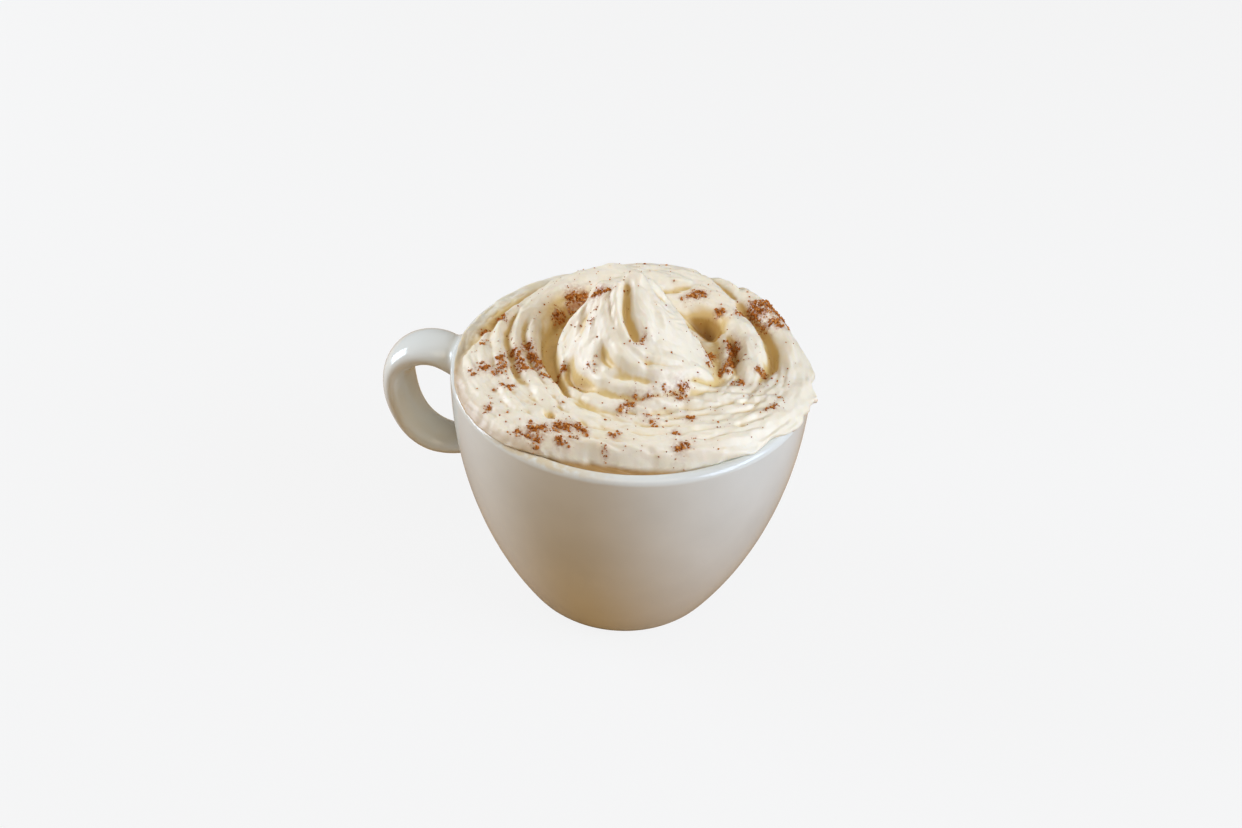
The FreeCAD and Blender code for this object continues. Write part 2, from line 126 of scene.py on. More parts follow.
def glazed_porcelain():
    """Glazed hard porcelain: small sharp highlights over a body that is nearly white."""
    material, tree = new_material("glazed_porcelain")
    place = add_node(tree, "TexCoord").outputs["Object"]
    # clay and glaze differ by a few per cent over 20 mm, and the glaze ripples over 3 mm
    cloud = add_node(tree, "TexNoise", Vector=place, Scale=1 / (20 * MM), Detail=3.0)
    body = set_ramp(add_node(tree, "ValToRGB", Fac=cloud.outputs["Fac"]),
                    (0.3, linear("#DBDCD4")), (0.7, linear("#E3E4DC")))
    # the film: on the lip's top and inner face, from the front left round to the front.
    # It fades in and out over these headings, in degrees from the cup's right
    split = add_node(tree, "SeparateXYZ", Vector=place)
    heading = add_node(tree, "Math", {"operation": "ARCTAN2"},
                      i0=split.outputs["Y"], i1=split.outputs["X"])
    stretch = add_node(tree, "MapRange", {"interpolation_type": "SMOOTHSTEP"},
                       Value=heading.outputs[0], From_Min=math.radians(-152),
                       From_Max=math.radians(-138))
    fade = add_node(tree, "MapRange", {"interpolation_type": "SMOOTHSTEP"},
                    Value=heading.outputs[0], From_Min=math.radians(-72),
                    From_Max=math.radians(-104))
    high = add_node(tree, "MapRange", {"interpolation_type": "SMOOTHSTEP"},
                    Value=split.outputs["Z"], From_Min=lip - 1.4 * MM, From_Max=lip - 0.3 * MM)
    blots = add_node(tree, "TexNoise", Vector=place, Scale=1 / (2.4 * MM), Detail=4.0)
    patchy = add_node(tree, "MapRange", Value=blots.outputs["Fac"], From_Min=0.25, From_Max=0.55)
    film = add_node(tree, "Math", {"operation": "MULTIPLY"},
                    i0=stretch.outputs[0], i1=fade.outputs[0])
    film = add_node(tree, "Math", {"operation": "MULTIPLY"}, i0=film.outputs[0],
                    i1=high.outputs[0])
    film = add_node(tree, "Math", {"operation": "MULTIPLY"}, i0=film.outputs[0],
                    i1=patchy.outputs[0])
    stained = add_node(tree, "Mix", {"data_type": "RGBA"}, Factor=film.outputs[0])
    tree.links.new(body.outputs["Color"], stained.inputs[6])
    stained.inputs[7].default_value = linear("#D8C8A8")
    ripple = add_node(tree, "TexNoise", Vector=place, Scale=1 / (6 * MM), Detail=1.0)
    bump = add_node(tree, "Bump", Strength=0.05, Distance=0.3 * MM, Height=ripple.outputs["Fac"])
    shade = add_node(tree, "BsdfPrincipled", IOR=1.5, Roughness=0.13,
                     Normal=bump.outputs["Normal"])
    tree.links.new(stained.outputs[2], shade.inputs["Base Color"])
    out = add_node(tree, "OutputMaterial")
    tree.links.new(shade.outputs[0], out.inputs["Surface"])
    return material


def dress(node_name, material):
    """Gives a CAD node its material in every slot."""
    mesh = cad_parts[node_name].data
    if not mesh.materials:
        mesh.materials.append(material)
    for index in range(len(mesh.materials)):
        mesh.materials[index] = material


dress("cup", glazed_porcelain())


# ------------------------------------------------------------------ coffee
# Coffee poured to just under the lip. What shows of it is a narrow ring round the cream,
# where crema and melted cream have mixed in.
def brewed_coffee():
    """Coffee clouded with cream: brown to tan swirls under a wet shine."""
    material, tree = new_material("brewed_coffee")
    place = add_node(tree, "TexCoord").outputs["Object"]
    swirls = add_node(tree, "TexNoise", Vector=place, Scale=1 / (5 * MM), Detail=5.0,
                      Distortion=1.2)
    colour = set_ramp(add_node(tree, "ValToRGB", Fac=swirls.outputs["Fac"]),
                      (0.35, linear("#7E5830")), (0.55, linear("#A97F4C")),
                      (0.75, linear("#C9A572")))
    shade = add_node(tree, "BsdfPrincipled", IOR=1.34, Roughness=0.18,
                     Base_Color=colour.outputs["Color"])
    out = add_node(tree, "OutputMaterial")
    tree.links.new(shade.outputs[0], out.inputs["Surface"])
    return material


dress("coffee", brewed_coffee())


# ------------------------------------------------------------------ whipped cream
# Cream whipped to firm peaks and piped from a large star nozzle: an outer turn that rests on
# the coffee and spills over the lip at the right, and an inner turn that climbs to a tip.
# The nozzle's teeth leave rounded ridges with narrow grooves between them.

# its form is worked out as a relief map, in millimetres above the lip, and then skinned
MAP_STEP = 0.3
MAP_HALF = 56.0
axis = np.arange(-MAP_HALF, MAP_HALF + MAP_STEP / 2, MAP_STEP)
map_x, map_y = np.meshgrid(axis, axis, indexing="ij")
map_radius = np.hypot(map_x, map_y)
map_angle = np.degrees(np.arctan2(map_y, map_x)) % 360.0

# The two turns at stations round the cup, from the right, against the clock as seen from
# above: angle, then radius and height of the outer turn's crest, radius of its edge,
# radius and height of the valley inside it, and radius of the inner turn's foot.
STATIONS = np.array([
    (0, 40.0, 3.4, 50.8, 25.0, 5.0, 23.5),
    (15, 42.0, 3.6, 48.9, 25.5, 4.0, 21.5),
    (30, 43.0, 4.8, 47.9, 27.0, 3.0, 19.5),
    (45, 43.5, 5.8, 48.8, 30.5, 1.5, 18.5),
    (60, 43.5, 6.6, 49.0, 31.5, 1.2, 18.5),
    (75, 42.0, 7.0, 48.0, 29.0, 3.0, 20.5),
    (95, 40.0, 7.2, 46.6, 28.0, 3.0, 21.5),
    (115, 38.5, 7.0, 44.6, 30.5, 0.5, 20.5),
    (140, 37.5, 6.4, 42.0, 30.0, -0.8, 20.0),
    (160, 37.0, 5.0, 40.8, 27.5, -1.2, 21.0),
    (180, 36.5, 4.6, 42.2, 25.5, -1.2, 22.0),
    (200, 36.0, 4.6, 48.6, 24.5, -0.8, 22.0),
    (222, 37.0, 4.4, 49.4, 24.0, 1.2, 22.4),
    (243, 38.2, 4.4, 49.4, 23.2, 4.2, 23.3),
    (253, 38.6, 4.4, 47.6, 23.2, 4.7, 24.0),
    (261, 39.0, 4.4, 43.8, 23.3, 5.0, 25.0),
    (275, 39.4, 4.3, 43.4, 23.5, 5.2, 26.0),
    (290, 39.5, 4.2, 43.7, 23.5, 5.2, 26.5),
    (305, 39.7, 4.4, 45.8, 23.7, 5.2, 26.3),
    (320, 39.5, 4.5, 47.5, 24.0, 5.2, 26.0),
    (340, 39.5, 4.2, 49.0, 25.0, 5.2, 25.0),
])


def around(column, angle):
    """A column of the stations at any angle, eased between them."""
    degrees = np.arange(-60, 420)
    plain = np.interp(degrees, STATIONS[:, 0], STATIONS[:, column], period=360)
    bell = np.exp(-0.5 * (np.arange(-20, 21) / 6.0) ** 2)
    return np.interp(angle, degrees, np.convolve(plain, bell / bell.sum(), mode="same"))


def swell(angle, centre, spread):
    """1 at the centre angle, falling smoothly to 0 at spread degrees on either side.

    It serves for radii too, in millimetres.
    """
    away = np.abs((angle - centre + 180.0) % 360.0 - 180.0)
    return np.where(away < spread, 0.5 + 0.5 * np.cos(np.pi * away / spread), 0.0)


def value_noise(x, y, seed, period=64):
    """Smooth noise from -1 to 1 that varies over one unit of x and y, and repeats in y."""
    lattice = np.random.default_rng(seed).uniform(-1, 1, (64, 64))
    column, row = np.floor(x).astype(int), np.floor(y).astype(int)
    u, v = x - column, y - row
    u, v = u * u * (3 - 2 * u), v * v * (3 - 2 * v)
    low, high = row % period, (row + 1) % period
    near = lattice[column % 64, low] * (1 - u) + lattice[(column + 1) % 64, low] * u
    far = lattice[column % 64, high] * (1 - u) + lattice[(column + 1) % 64, high] * u
    return near * (1 - v) + far * v


def skirt_height(angle):
    """Cream that has slumped outwards from the outer turn, onto the lip at the left."""
    return (-1.9 + 2.3 * np.minimum(1.6 * swell(angle, 168, 98), 1)
            + 0.85 * swell(angle, 275, 70))


def outer_turn(angle, radius):
    """Height of the outer turn of piping, without its ridges."""
    crest_radius, crest, edge = around(1, angle), around(2, angle), around(3, angle)
    valley_radius, valley = around(4, angle), around(5, angle)
    outward = np.clip((radius - crest_radius) / (edge - crest_radius), 0, 1)
    inward = np.clip((crest_radius - radius) / (crest_radius - valley_radius + 2), 0, 1)
    foot = np.clip(skirt_height(angle) + 2.4, 0.4, 0.9) - 0.7 * swell(angle, 226, 50)
    outside = foot + (crest - foot) * np.sqrt(1 - outward ** 2.4)
    outside = np.where((radius > edge) & (edge < 46.5), -50.0, outside)
    inside = valley - 1 + (crest - valley + 1) * np.sqrt(1 - inward ** 2.2)
    return np.where(radius > crest_radius, outside, inside)


TIP_HEIGHT = 27.4
TIP_LEAN = (-1.0, 5.0)


def inner_turn(x, y, angle, radius):
    """Height of the inner turn of piping: a dome that draws up to a leaning tip."""
    foot, foot_radius = around(5, angle), around(6, angle)
    lean = np.clip(1 - radius / 24.0, 0, 1)
    share = np.hypot(x - TIP_LEAN[0] * lean, y - TIP_LEAN[1] * lean) / foot_radius
    # fuller at the left, where the ridges overhang, than at the front
    fullness = 1.5 + 0.95 * swell(angle, 183, 85)
    height = foot - 1 + (TIP_HEIGHT - foot + 1) * (1 - np.clip(share, 0, 1) ** fullness)
    return np.where(share < 1, height, -50.0)


def merge(one, other, fillet):
    """The higher of two forms, with the corner between them filled."""
    gap = np.maximum(fillet - np.abs(one - other), 0)
    return np.maximum(one, other) + gap * gap / (4 * np.maximum(fillet, 0.01))


def blur(field, width):
    """Softens a map with a bell curve of that width in millimetres."""
    reach = int(3 * width / MAP_STEP) + 1
    bell = np.exp(-0.5 * (np.arange(-reach, reach + 1) * MAP_STEP / width) ** 2)
    bell /= bell.sum()
    padded = np.pad(field, reach, mode="edge")
    rows = sum(w * padded[i:i + field.shape[0]] for i, w in enumerate(bell))
    return sum(w * rows[:, i:i + field.shape[1]] for i, w in enumerate(bell))


# the turns run into each other at the front and stand apart at the back left
relief = merge(outer_turn(map_angle, map_radius),
               inner_turn(map_x, map_y, map_angle, map_radius),
               0.6 + 6.0 * swell(map_angle, 305, 85))
relief = np.maximum(relief, skirt_height(map_angle))
relief = blur(relief, 0.7)
form = relief.copy()
slope_x, slope_y = np.gradient(blur(form, 1.0), MAP_STEP)


def sample(field, x, y):
    """Reads a map between its points."""
    u = np.clip((np.asarray(x) + MAP_HALF) / MAP_STEP, 0, len(axis) - 1.001)
    v = np.clip((np.asarray(y) + MAP_HALF) / MAP_STEP, 0, len(axis) - 1.001)
    i, j = u.astype(int), v.astype(int)
    u, v = u - i, v - j
    return (field[i, j] * (1 - u) * (1 - v) + field[i + 1, j] * u * (1 - v)
            + field[i, j + 1] * (1 - u) * v + field[i + 1, j + 1] * u * v)


def trail(stops):
    """A smooth line on the map through (angle, radius) stops: points every 0.25 mm."""
    corners = [(r * math.cos(math.radians(a)), r * math.sin(math.radians(a))) for a, r in stops]
    corners = np.array([corners[0]] + corners + [corners[-1]])
    line = []
    for k in range(1, len(corners) - 2):
        p0, p1, p2, p3 = corners[k - 1:k + 3]
        count = max(2, int(np.hypot(*(p2 - p1)) / 0.25))
        t = np.arange(count)[:, None] / count
        line.append(0.5 * (2 * p1 + (p2 - p0) * t + (2 * p0 - 5 * p1 + 4 * p2 - p3) * t ** 2
                           + (3 * p1 - p0 - 3 * p2 + p3) * t ** 3))
    return np.concatenate(line)


def near_cells(x, y, reach):
    """The part of the map within reach of a point."""
    i0, i1 = np.clip([int((x - reach + MAP_HALF) / MAP_STEP),
                      int((x + reach + MAP_HALF) / MAP_STEP) + 2], 0, len(axis))
    j0, j1 = np.clip([int((y - reach + MAP_HALF) / MAP_STEP),
                      int((y + reach + MAP_HALF) / MAP_STEP) + 2], 0, len(axis))
    return slice(i0, i1), slice(j0, j1)


def lay_ridge(girth, proud, stops, start=0.12, end=0.2):
    """One tooth's ridge: a round bead that stands proud of the form and sinks in at its ends."""
    line = trail(stops)
    share = np.linspace(0, 1, len(line))
    rise = np.minimum(np.clip(share / max(start, 1e-6), 0, 1), np.clip((1 - share) / end, 0, 1))
    rise = np.sin(rise * np.pi / 2)
    # the bead wavers and thins here and there, as cream does when it is pushed out
    along = np.arange(len(line)) * 0.25
    rise *= 0.85 + 0.3 * value_noise(along / 3.5 + stops[0][0], along * 0 + girth, 12)
    line = line + 0.35 * np.stack([value_noise(along / 4 + stops[0][0], along * 0 + 1.5, 13),
                                   value_noise(along / 4 + stops[0][0], along * 0 + 5.5, 13)], -1)
    for (x, y), full in zip(line, rise):
        radius = girth * (0.7 + 0.3 * full)
        dx, dy = float(sample(slope_x, x, y)), float(sample(slope_y, x, y))
        length = math.sqrt(dx * dx + dy * dy + 1)
        deep = radius - proud * full + 0.4 * (1 - full)
        cx, cy = x + dx / length * deep, y + dy / length * deep
        cz = float(sample(form, x, y)) - deep / length
        window = near_cells(cx, cy, radius)
        flat = (map_x[window] - cx) ** 2 + (map_y[window] - cy) ** 2
        bead = cz + np.sqrt(np.maximum(radius * radius - flat, 0))
        bead[flat > radius * radius] = -50
        relief[window] = np.maximum(relief[window], bead)


grooves = np.zeros_like(relief)


def press_groove(width, depth, stops, start=0.25, end=0.3):
    """A groove or hollow pressed into the relief, fading out at its ends."""
    line = trail(stops)
    share = np.linspace(0, 1, len(line))
    fade = np.minimum(np.clip(share / start, 0, 1), np.clip((1 - share) / end, 0, 1))
    for (x, y), full in zip(line, np.sin(fade * np.pi / 2)):
        window = near_cells(x, y, 2.5 * width)
        flat = (map_x[window] - x) ** 2 + (map_y[window] - y) ** 2
        grooves[window] = np.maximum(grooves[window], depth * full * np.exp(-flat / width ** 2))


# inner turn, from the outermost ridge at the left round to the right and the back
lay_ridge(2.8, 1.7, [(200, 10.5), (187, 15.2), (181, 18.9), (193, 19.5), (215, 20.2),
                     (236, 22.2), (252, 24.2), (270, 25.8), (290, 26), (316, 26.5), (335, 31),
                     (346, 38), (352, 45)])
lay_ridge(2.2, 1.2, [(212, 15.5), (230, 17.8), (248, 19), (262, 20.5), (278, 21.8), (296, 22.5),
                     (325, 23.5), (343, 30), (352, 38)])
lay_ridge(2.8, 1.7, [(185, 6.5), (200, 8.5), (218, 9.5), (243, 11), (262, 13.5), (278, 16.5),
                     (292, 19), (310, 20), (335, 21.5), (348, 26)])
lay_ridge(2.2, 1.2, [(165, 5), (220, 5.5), (248, 7.5), (268, 10.5), (282, 13.5), (298, 16),
                     (318, 18), (341, 22)])
lay_ridge(3.4, 1.3, [(110, 5.5), (330, 1.5), (305, 7), (303, 11), (308, 15)], 0.05, 0.4)
lay_ridge(2.6, 0.7, [(80, 4), (350, 7), (332, 11), (326, 14)], 0.1, 0.4)
lay_ridge(3.4, 1.2, [(75, 7), (45, 10), (15, 13), (356, 15.5), (345, 18)], 0.1, 0.4)
lay_ridge(2.6, 0.8, [(85, 9), (55, 11.5), (30, 14.5), (8, 17.5), (352, 20.5)], 0.1, 0.3)
lay_ridge(2.8, 1.0, [(95, 10), (75, 13), (52, 15.5), (35, 17)], 0.1)
lay_ridge(2.8, 1.0, [(118, 9), (102, 13.5), (86, 17), (70, 18.5)], 0.1)
lay_ridge(2.8, 1.0, [(142, 9), (130, 13), (116, 17), (104, 19.5)], 0.1)
lay_ridge(2.6, 1.2, [(172, 9), (162, 12.5), (150, 15.5), (138, 18)], 0.1)
press_groove(1.4, 3.2, [(150, 3), (235, 3.5), (262, 6.2), (278, 9), (286, 12.5)], 0.12, 0.2)
press_groove(2.2, 3.4, [(218, 18.5), (231, 20), (243, 21), (254, 22)], 0.35, 0.5)
press_groove(1.4, 2.4, [(190, 12.5), (203, 14), (214, 15.5)], 0.3, 0.4)
press_groove(1.2, 1.8, [(248, 14), (257, 15.8), (266, 18)], 0.3, 0.5)

# outer turn: its start at the back left, the cave under it, the flutes at the left
lay_ridge(4.4, 1.4, [(96, 38.5), (114, 38), (130, 37), (142, 35.5), (151, 34.5),
                     (159, 35.5)], 0.3, 0.06)
lay_ridge(2.4, 1.3, [(160, 38.6), (172, 38.6), (184, 38.2), (193, 36.8), (206, 35.8),
                     (220, 36.4)], 0.08)
lay_ridge(2.8, 1.8, [(158, 35.5), (170, 34.4), (184, 32.7), (198, 30.6), (216, 29.8), (236, 31.6),
                     (250, 34)], 0.08)
lay_ridge(2.6, 1.8, [(152, 33), (164, 31.6), (178, 28.7), (194, 26.5), (212, 25.9), (236, 27.5),
                     (250, 30), (264, 31.2)], 0.08)
lay_ridge(2.0, 1.0, [(188, 42), (200, 40.8), (213, 39.6), (228, 39.4), (242, 40)], 0.2)
lay_ridge(3.6, 0.8, [(74, 38), (88, 36), (104, 35), (118, 35)], 0.2, 0.3)
press_groove(3.0, 2.0, [(110, 28.5), (124, 28.5), (138, 28), (152, 25.5), (166, 23)], 0.3, 0.4)
press_groove(2.0, 1.9, [(160, 25), (178, 23.5), (198, 22.7), (218, 22.8), (234, 24),
                        (246, 26.3)], 0.2)
press_groove(1.4, 1.6, [(164, 37.1), (178, 36.0), (192, 34.2), (206, 33.2), (222, 33.5)], 0.12)
press_groove(1.3, 1.2, [(168, 33.2), (182, 31), (198, 28.9), (216, 28.2)], 0.15)
press_groove(1.6, 1.4, [(170, 41.2), (184, 40.4), (194, 39.0)], 0.2)
press_groove(1.4, 1.8, [(92, 30), (82, 33), (74, 37)], 0.3)

# the bulge and the hollow at the right
lay_ridge(2.0, 1.4, [(42, 28.5), (26, 26.8), (8, 26), (352, 26.8)])
lay_ridge(4.4, 2.8, [(48, 33), (38, 33.2), (22, 32.8), (6, 32.2), (354, 33)], 0.2, 0.3)
lay_ridge(3.0, 1.3, [(50, 45), (34, 45), (20, 44), (8, 43), (357, 42.5)])
press_groove(1.9, 4.6, [(56, 40.5), (44, 39.8), (32, 39.8), (20, 39.6), (10, 38.4),
                        (2, 36.5)], 0.15, 0.3)
press_groove(2.6, 3.4, [(66, 29), (54, 29), (43, 27.5)], 0.4, 0.4)
press_groove(1.7, 6.0, [(60, 30), (54, 29.6), (47, 28.8)], 0.4, 0.4)
# shallow folds on the right side of the inner turn
press_groove(1.5, 0.9, [(70, 6), (25, 8), (352, 11), (336, 14.5)], 0.3, 0.4)
press_groove(1.3, 0.9, [(58, 12), (30, 13.5), (4, 16)], 0.3, 0.4)
press_groove(1.3, 2.4, [(34, 18), (22, 16.5), (8, 15)], 0.3, 0.4)
press_groove(1.2, 2.2, [(36, 29.4), (22, 28.6), (6, 28.2)], 0.3, 0.4)
press_groove(1.6, 3.0, [(78, 46), (70, 44), (62, 42), (54, 40.5)], 0.2)
press_groove(1.1, 1.6, [(70, 49), (63, 46.5), (57, 44)], 0.2)

# drag lines at the front that run out over the lip at the right
for girth, proud, stops in (
        (2.4, 0.8, [(247, 32), (267, 29.5), (290, 29), (315, 30), (336, 36), (353, 45)]),
        (1.8, 0.5, [(240, 34.5), (262, 32), (284, 32), (308, 32), (330, 37), (348, 43)]),
        (2.4, 0.7, [(236, 37), (257, 35.8), (278, 34.8), (304, 35.5), (329, 40), (349, 47)]),
        (1.8, 0.5, [(262, 39), (284, 37.6), (308, 39), (332, 42.5), (350, 49)]),
        (2.4, 0.7, [(228, 41.5), (249, 42), (265, 41.5), (286, 41), (309, 41.5), (333, 45),
                    (352, 50)]),
        (1.6, 0.5, [(290, 43.5), (305, 43.5), (322, 44.5), (336, 47), (346, 49.5)])):
    lay_ridge(girth, proud, stops)
# narrow cuts between them
for stops in (
        [(298, 30), (318, 31.5), (334, 36.5)], [(310, 28.5), (328, 32), (340, 37.5)],
        [(322, 34), (336, 38.5), (346, 43)], [(284, 36), (303, 36.5), (318, 39)],
        [(260, 35.6), (278, 34.6), (292, 34.8)], [(308, 41), (322, 42.5), (334, 45.5)],
        [(316, 38), (330, 41), (341, 45.5)], [(276, 32.5), (292, 32), (306, 33)],
        [(250, 39.5), (266, 38.6), (282, 38.4)], [(336, 33), (346, 37), (353, 42)],
        [(286, 42.4), (300, 42), (312, 43.4)], [(328, 47), (338, 47.6), (346, 48.4)]):
    press_groove(0.6, 0.75, stops)
press_groove(0.9, 1.2, [(322, 27.5), (332, 31.5), (340, 36.5), (346, 41)])
press_groove(1.2, 2.6, [(245, 35.5), (248.5, 36.2)], 0.5, 0.5)
press_groove(0.9, 1.8, [(326, 40.8), (329, 41.4)], 0.5, 0.5)

# cream never sinks below the skirt, except where the coffee shows beside the outer turn
over = (around(3, map_angle) > 46.5) & (skirt_height(map_angle) < -1)
floor_of_map = np.where(over, -50.0, np.minimum(relief, skirt_height(map_angle)))
relief = np.maximum(blur(relief - grooves, 0.3), floor_of_map)
# drag lines: the nozzle's rough teeth leave fine lines that follow the outer turn
drift = -8.0 * swell(map_angle, 245, 95) + 6.0 * swell(map_angle, 5, 100)
lines = value_noise((map_radius - drift) / 1.3 + 40, map_angle / 10, 3, 36)
lines += 0.7 * value_noise((map_radius - drift) / 0.7 + 10, map_angle / 6, 4, 60)
relief += (0.34 + 0.1 * swell(map_angle, 290, 80)) * lines * np.clip((map_radius - 20) / 8, 0, 1)
# and finer ones that climb with the inner turn
lines = value_noise((map_radius - 0.16 * map_angle) / 0.9, map_angle / 10, 14, 36)
relief += 0.22 * lines * np.clip(map_radius / 6 - 0.3, 0, 1) * np.clip((24 - map_radius) / 5, 0, 1)
# stiff cream tears a little as it is piped
relief += (0.25 + 0.2 * swell(map_angle, 235, 50)) * value_noise(map_x / 2.6 + 60,
                                                                 map_y / 2.6 + 60, 5)
relief += 0.12 * value_noise(map_x / 0.9 + 90, map_y / 0.9 + 90, 6)

# the skin: rows of points from the tip out to the edge, and back under it to the coffee
COLUMNS = 640
TOP_ROWS = 140
CLEAR = 0.12            # left between the cream and the glaze
coffee_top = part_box("coffee")[1][2] / MM - lip / MM
inner_radius = 46.0     # of the cup's mouth
lip_round = 1.8
column_angle = np.arange(COLUMNS) * 360.0 / COLUMNS
turn = np.radians(column_angle)
ragged = (0.5 * value_noise(column_angle / 9 + 5, column_angle * 0 + 3, 8)
          + 0.3 * value_noise(column_angle / 3 + 5, column_angle * 0 + 7, 9))
edge = around(3, column_angle) + ragged * (0.4 + 1.6 * swell(column_angle, 5, 80))
edge += 1.2 * swell(column_angle, 359, 6) + 0.8 * swell(column_angle, 12, 4)
skirt = skirt_height(column_angle)
sunk = np.clip(skirt + lip_round, 0, lip_round * 0.98)
wall = inner_radius + lip_round - np.sqrt(lip_round ** 2 - sunk ** 2)
# where the skirt stands at the lip, it reaches the wall and a little way over it
edge = np.maximum(edge, wall - CLEAR + 2.2 * np.clip(skirt + 0.1, 0, 0.5)
                  + 0.4 * ragged * (skirt > -1))


def lip_surface(radius):
    """Height of the cup's rounded lip at a radius: its inner round, its top, its outer round."""
    inward = np.clip(inner_radius + lip_round - radius, 0, lip_round)
    outward = np.clip(radius - (cup_high[1] / MM - lip_round), 0, lip_round)
    return np.sqrt(lip_round ** 2 - np.maximum(inward, outward) ** 2) - lip_round


rows = []


def add_row(radius, height):
    rows.append(np.stack([radius * np.cos(turn), radius * np.sin(turn),
                          np.broadcast_to(height, radius.shape)], -1))


for share in (np.arange(TOP_ROWS) + 1) / TOP_ROWS:
    r = edge * share
    height = sample(relief, r * np.cos(turn), r * np.sin(turn))
    on_lip = np.where(r > inner_radius,
                      lip_surface(np.maximum(r, inner_radius)) + 2 * CLEAR, -50.0)
    add_row(r, np.maximum(height, on_lip))
top_edge = rows[-1][:, 2]
over_lip = np.clip((edge - inner_radius) / 1.0, 0, 1)
under_edge = np.maximum(lip_surface(edge) + CLEAR, -1.2)
# the edge rolls over, tucks back along the lip, and ends in a plug sunk in the coffee
for out, drop in ((0.35, 0.3), (0.45, 0.65), (0.1, 1.0)):
    add_row(edge + out * over_lip, top_edge + np.minimum(under_edge - top_edge, -0.02) * drop)
for share in (0.2, 0.4, 0.6, 0.8, 1.0):
    r = edge + (inner_radius - 0.3 - edge) * share
    ledge = np.where(r > inner_radius,
                     lip_surface(np.maximum(r, inner_radius)) + CLEAR, coffee_top + 0.2)
    add_row(r, np.minimum(ledge, rows[-1][:, 2]))
for r, z in ((45.4, 0.1), (41.2, 0.1), (40.6, -2.5)):
    add_row(np.full(COLUMNS, r), coffee_top + z)

points = np.concatenate(rows)
tip, base = len(points), len(points) + 1
points = np.concatenate([points, [[0, 0, float(sample(relief, 0.0, 0.0))]],
                         [[0, 0, coffee_top - 2.5]]])
faces = []
last = (len(rows) - 1) * COLUMNS
for k in range(COLUMNS):
    n = (k + 1) % COLUMNS
    faces.append((tip, k, n))
    faces.append((base, last + n, last + k))
    for i in range(0, last, COLUMNS):
        faces.append((i + k, i + COLUMNS + k, i + COLUMNS + n, i + n))
points[:, 2] += lip / MM
cream_mesh = bpy.data.meshes.new("whipped_cream_swirl")
cream_mesh.from_pydata((points * MM).tolist(), [], faces)
cream_mesh.shade_smooth()
cream = bpy.data.objects.new("whipped_cream_swirl", cream_mesh)
bpy.context.collection.objects.link(cream)


def paint(name, values):
    """Stores one number at each point of the cream for its material to read."""
    attribute = cream_mesh.attributes.new(name, "FLOAT", "POINT")
    attribute.data.foreach_set("value", np.clip(values, 0, 1).astype(np.float32))


# how deep each spot lies below its surroundings, for the golden shade painted into the grooves and
# hollows; and a tan, partly coffee soaked into the cream and partly painted shade along its low
# edges
deep = (np.clip((blur(relief, 2.4) - relief) / 1.8, 0, 1)
        + 0.5 * np.clip((blur(relief, 0.8) - relief) / 0.6, 0, 1)
        + 0.35 * np.clip((blur(relief, 5.0) - relief) / 2.5, 0, 1))
bearing = np.degrees(np.arctan2(points[:, 1], points[:, 0])) % 360
far_out = np.hypot(points[:, 0], points[:, 1])
out_to = around(3, bearing)
# the caves under the outer turn's start and in its bend get the darkest painted shade
cave_shade = (1.3 * swell(bearing, 140, 34) * swell(far_out, 29, 7)
        + 1.6 * swell(bearing, 54, 19) * swell(far_out, 29.5, 5)
        + 0.2 * swell(bearing, 200, 42) * swell(far_out, 22, 4)
        + 0.35 * swell(bearing, 244, 22) * swell(far_out, 21, 2.5)
        + 0.6 * swell(bearing, 162, 34) * swell(far_out, 43, 4.5))
# the cuts at the front are too shallow to take much painted shade, and so is the outermost rim
front = 1 - 0.5 * swell(bearing, 312, 60) * np.clip((far_out - 22) / 6, 0, 1)
rim = np.clip((out_to - 1.0 - far_out) / 2.0, swell(bearing, 165, 60), 1)
shade = np.minimum(sample(deep, points[:, 0], points[:, 1]), 1) * front + cave_shade
# painted golden shade in the grooves and hollows, darkest in the caves
paint("painted_shade", 0.6 * shade * (1 - 0.22 * swell(bearing, 206, 34)) * rim)
depth = lip / MM - points[:, 2]
# tan: coffee soaked into the low cream and its front-left edge, and painted shade in the gap at
# the front and over the band at the left
paint("stain_and_shade", (depth - 0.2) / 0.9 * (0.3 + 0.7 * swell(bearing, 278, 55))
      * (far_out < inner_radius + 0.6)
      + 0.6 * swell(bearing, 222, 58) * np.clip((far_out - out_to) / 2.2 + 1, 0, 1)
      + 0.6 * swell(bearing, 270, 32) * np.clip((far_out - out_to) / 1.4 + 1, 0, 1)
      + 0.25 * swell(bearing, 200, 40) * np.clip((far_out - out_to) / 7 + 1, 0, 1))


